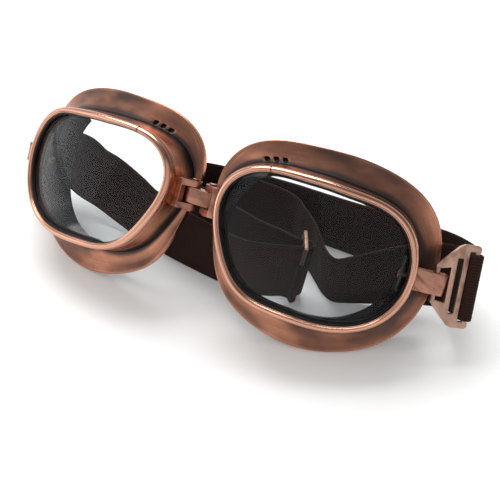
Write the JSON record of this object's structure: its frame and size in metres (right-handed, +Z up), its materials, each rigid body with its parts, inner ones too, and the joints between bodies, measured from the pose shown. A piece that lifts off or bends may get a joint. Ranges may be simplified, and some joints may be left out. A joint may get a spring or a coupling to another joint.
{
  "type": "riding goggles",
  "caption": "Vintage metal riding goggles: two hinged eye cups with clear lenses, flared brims and padded backs, and a folded elastic strap on two temple buckles.",
  "frame": {"origin": "middle of the outline on the table under the goggles", "axes": "+X to the wearer's left, +Y from the lenses to the strap, +Z up from the table"},
  "size_m": [0.2194, 0.0787, 0.0717],
  "materials": {
    "bright_copper": "polished copper, lightly worn",
    "copper": "brushed antique copper",
    "patina_copper": "dark antique copper",
    "buckle_copper": "dull antique copper",
    "lens": "clear, polished",
    "black_rubber": "smooth, slightly glossy",
    "pad_foam": "soft matt foam rubber",
    "elastic": "ribbed woven elastic"
  },
  "bodies": {
    "bridge": {"bridge_link": "bright_copper", "hinge_pin_left": "copper", "hinge_pin_right": "copper", "strap_back": "elastic", "strap_tail": "elastic", "strap_slider": "buckle_copper"},
    "cup_left": {"bezel_left": "bright_copper", "lens_left": "lens", "gasket_left": "black_rubber", "front_frame_left": "patina_copper", "brim_left": "copper", "eye_cup_left": "black_rubber", "face_pad_left": "pad_foam", "hinge_bracket_left": "copper", "strap_tab_left": "copper", "tab_plate_left": "copper", "tab_rivet_left": "copper", "strap_side_left": "elastic"},
    "buckle_left": {"buckle_left": "buckle_copper", "strap_end_left": "elastic"},
    "cup_right": {"bezel_right": "bright_copper", "lens_right": "lens", "gasket_right": "black_rubber", "front_frame_right": "patina_copper", "brim_right": "copper", "eye_cup_right": "black_rubber", "face_pad_right": "pad_foam", "hinge_bracket_right": "copper", "strap_tab_right": "copper", "tab_plate_right": "copper", "tab_rivet_right": "copper", "strap_side_right": "elastic"},
    "buckle_right": {"buckle_right": "buckle_copper", "strap_end_right": "elastic"}
  },
  "joints": [
    {"name": "cup_hinge_left", "type": "hinge", "parent": "bridge", "child": "cup_left", "pos_m": [-0.00165, -0.01175, 0.04816], "axis": [0, 0.5678, 0.8231], "range_deg": [-45, 15], "deforming": ["strap_side_left"]},
    {"name": "buckle_hinge_left", "type": "hinge", "parent": "cup_left", "child": "buckle_left", "pos_m": [0.09259, 0.00034, 0.03144], "axis": [-0.1012, 0.5225, 0.8466], "range_deg": [-50, 60], "deforming": ["strap_side_left"]},
    {"name": "cup_hinge_right", "type": "hinge", "parent": "bridge", "child": "cup_right", "pos_m": [-0.00965, -0.01175, 0.04816], "axis": [0, -0.5678, -0.8231], "range_deg": [-45, 15], "deforming": ["strap_side_right"]},
    {"name": "buckle_hinge_right", "type": "hinge", "parent": "cup_right", "child": "buckle_right", "pos_m": [-0.1039, 0.00034, 0.03144], "axis": [-0.1012, -0.5225, -0.8466], "range_deg": [-107, 3], "deforming": ["strap_side_right"]}
  ]
}
